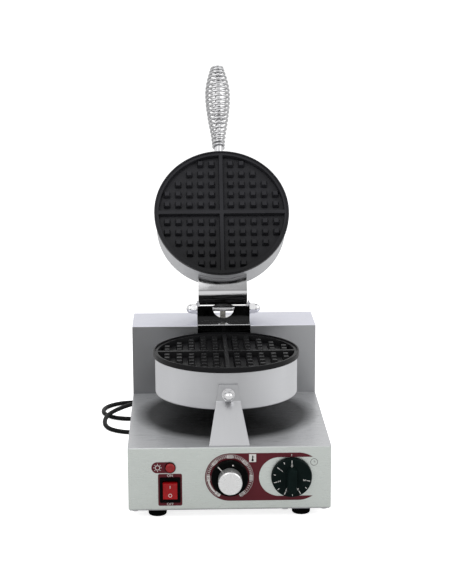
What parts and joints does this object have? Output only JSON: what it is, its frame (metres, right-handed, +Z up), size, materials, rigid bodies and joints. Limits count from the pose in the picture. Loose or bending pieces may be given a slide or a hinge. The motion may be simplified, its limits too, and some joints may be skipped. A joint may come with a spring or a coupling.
{
  "type": "round waffle maker",
  "caption": "Electric waffle maker: two round waffle plates in steel drums on a sheet steel stand, the upper one hinged, with a wire-coil handle, dials, a switch and a mains lead.",
  "frame": {"origin": "on the table, under the centre of the box round the machine with its lid open, the mains lead left out", "axes": "+Z up, the control panel faces -Y, +X to the right as the user stands"},
  "size_m": [0.3066, 0.535, 0.5224],
  "materials": {
    "panel_steel": "pale satin steel, brushed on the deck",
    "column_steel": "brushed steel, duller on the face towards the pan",
    "back_steel": "satin steel",
    "screw_steel": "plain zinc",
    "foot_rubber": "matte black",
    "label_print": "maroon printed film with white marks",
    "lamp_bezel": "dark ring",
    "lamp_red": "clear red",
    "switch_black": "black",
    "switch_red": "red with white marks",
    "device_body": "dark moulded body, unseen",
    "shaft_steel": "turned",
    "knob_black": "black with a white pointer",
    "knob_cap": "spun metal face",
    "timer_black": "black with white numbers",
    "plate_coating": "black non-stick coating on a cast plate",
    "drum_steel": "satin, drawn round",
    "element_steel": "heat-dulled, unseen",
    "insulation": "mineral wool, unseen",
    "bright_steel": "polished",
    "fixing_steel": "bright",
    "handle_steel": "bright",
    "coil_steel": "bright drawn wire",
    "lead_sleeve": "woven glass sleeve",
    "cord_rubber": "black"
  },
  "bodies": {
    "base": {"base_housing": "panel_steel", "base_screws": "screw_steel", "bottom_plate": "back_steel", "bracket_nut": "fixing_steel", "bracket_screws": "screw_steel", "bracket_stud": "fixing_steel", "bracket_washer": "fixing_steel", "column_cover": "column_steel", "control_label": "label_print", "cord_coil": "cord_rubber", "cord_gland": "foot_rubber", "front_bracket": "bright_steel", "hinge_bracket": "bright_steel", "hinge_lead": "lead_sleeve", "hinge_nuts": "fixing_steel", "hinge_rod": "fixing_steel", "hinge_washers": "fixing_steel", "lamp_body": "lamp_bezel", "lamp_label": "label_print", "lamp_lens": "lamp_red", "lead_grommet": "foot_rubber", "lower_clamp": "element_steel", "lower_drum": "drum_steel", "lower_element": "element_steel", "lower_insulation": "insulation", "lower_lead": "lead_sleeve", "lower_nuts": "element_steel", "lower_plate": "plate_coating", "pan_bolts": "fixing_steel", "pan_spacers": "fixing_steel", "power_cord": "cord_rubber", "power_plug": "cord_rubber", "rear_panel": "back_steel", "rear_screws": "screw_steel", "rubber_feet": "foot_rubber", "switch_body": "switch_black", "switch_label": "label_print", "terminal_block": "device_body", "thermostat_body": "device_body", "timer_body": "device_body"},
    "lid": {"upper_plate": "plate_coating", "upper_element": "element_steel", "upper_clamp": "element_steel", "upper_nuts": "element_steel", "upper_insulation": "insulation", "upper_drum": "drum_steel", "lid_bracket": "bright_steel", "lid_lead": "lead_sleeve", "handle_rod": "handle_steel", "handle_nut": "fixing_steel", "handle_collar": "handle_steel", "handle_tip": "handle_steel", "handle_coil": "coil_steel"},
    "rocker": {"switch_rocker": "switch_red"},
    "thermostat_dial": {"thermostat_shaft": "shaft_steel", "thermostat_knob": "knob_black", "thermostat_cap": "knob_cap"},
    "timer_dial": {"timer_shaft": "shaft_steel", "timer_knob": "timer_black"}
  },
  "joints": [
    {"name": "lid_hinge", "type": "hinge", "parent": "base", "child": "lid", "pos_m": [0, 0.04013, 0.2022], "axis": [1, 0, 0], "range_deg": [0, 124]},
    {"name": "switch_rock", "type": "hinge", "parent": "base", "child": "rocker", "pos_m": [-0.0734, -0.24037, 0.0387], "axis": [1, 0, 0], "range_deg": [-16, 0]},
    {"name": "thermostat_turn", "type": "hinge", "parent": "base", "child": "thermostat_dial", "pos_m": [0, -0.24207, 0.054], "axis": [0, 1, 0], "range_deg": [-102, 188]},
    {"name": "timer_turn", "type": "hinge", "parent": "base", "child": "timer_dial", "pos_m": [0.076, -0.24207, 0.054], "axis": [0, 1, 0], "range_deg": [0, 260], "stiffness_Nm_per_rad": 0.004}
  ]
}
